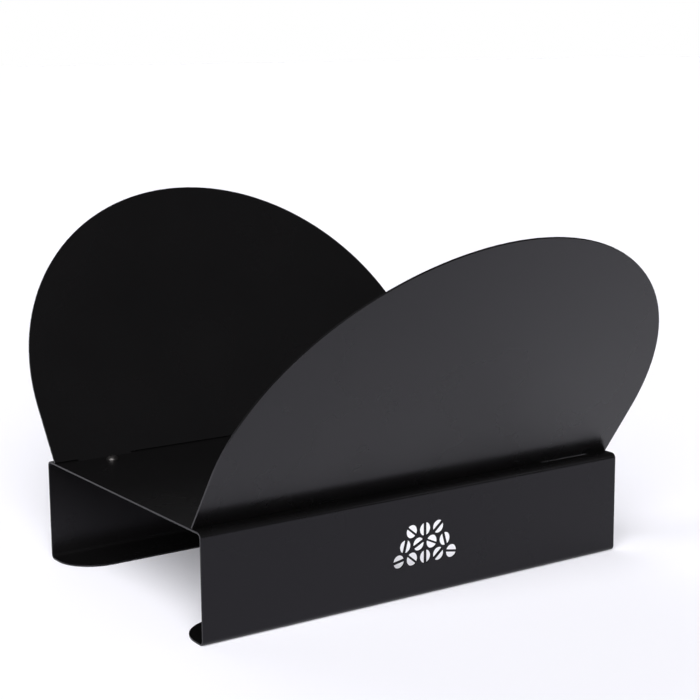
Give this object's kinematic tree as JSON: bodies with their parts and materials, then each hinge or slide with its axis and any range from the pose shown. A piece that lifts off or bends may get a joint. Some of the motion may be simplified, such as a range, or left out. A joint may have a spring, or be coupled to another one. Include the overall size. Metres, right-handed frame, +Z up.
{
  "type": "firewood log rack",
  "caption": "Low firewood rack of folded black sheet steel: a bench-shaped base with a pierced front leg, carrying two outward-leaning round-topped side plates.",
  "frame": {"origin": "on the floor, under the middle of the deck", "axes": "+X along the logs and the length of the base, +Y from the front side plate (pierced leg) to the rear side plate, +Z up"},
  "size_m": [0.4064, 0.5296, 0.2987],
  "materials": {
    "black_powder_coat": "satin powder coat",
    "black_oxide_steel": "black oxide"
  },
  "bodies": {
    "root": {"base_frame": "black_powder_coat", "front_side_plate": "black_powder_coat", "rear_side_plate": "black_powder_coat", "front_left_screw": "black_oxide_steel", "front_right_screw": "black_oxide_steel", "rear_left_screw": "black_oxide_steel", "rear_right_screw": "black_oxide_steel", "front_left_nut": "black_oxide_steel", "front_right_nut": "black_oxide_steel", "rear_left_nut": "black_oxide_steel", "rear_right_nut": "black_oxide_steel"}
  },
  "joints": []
}
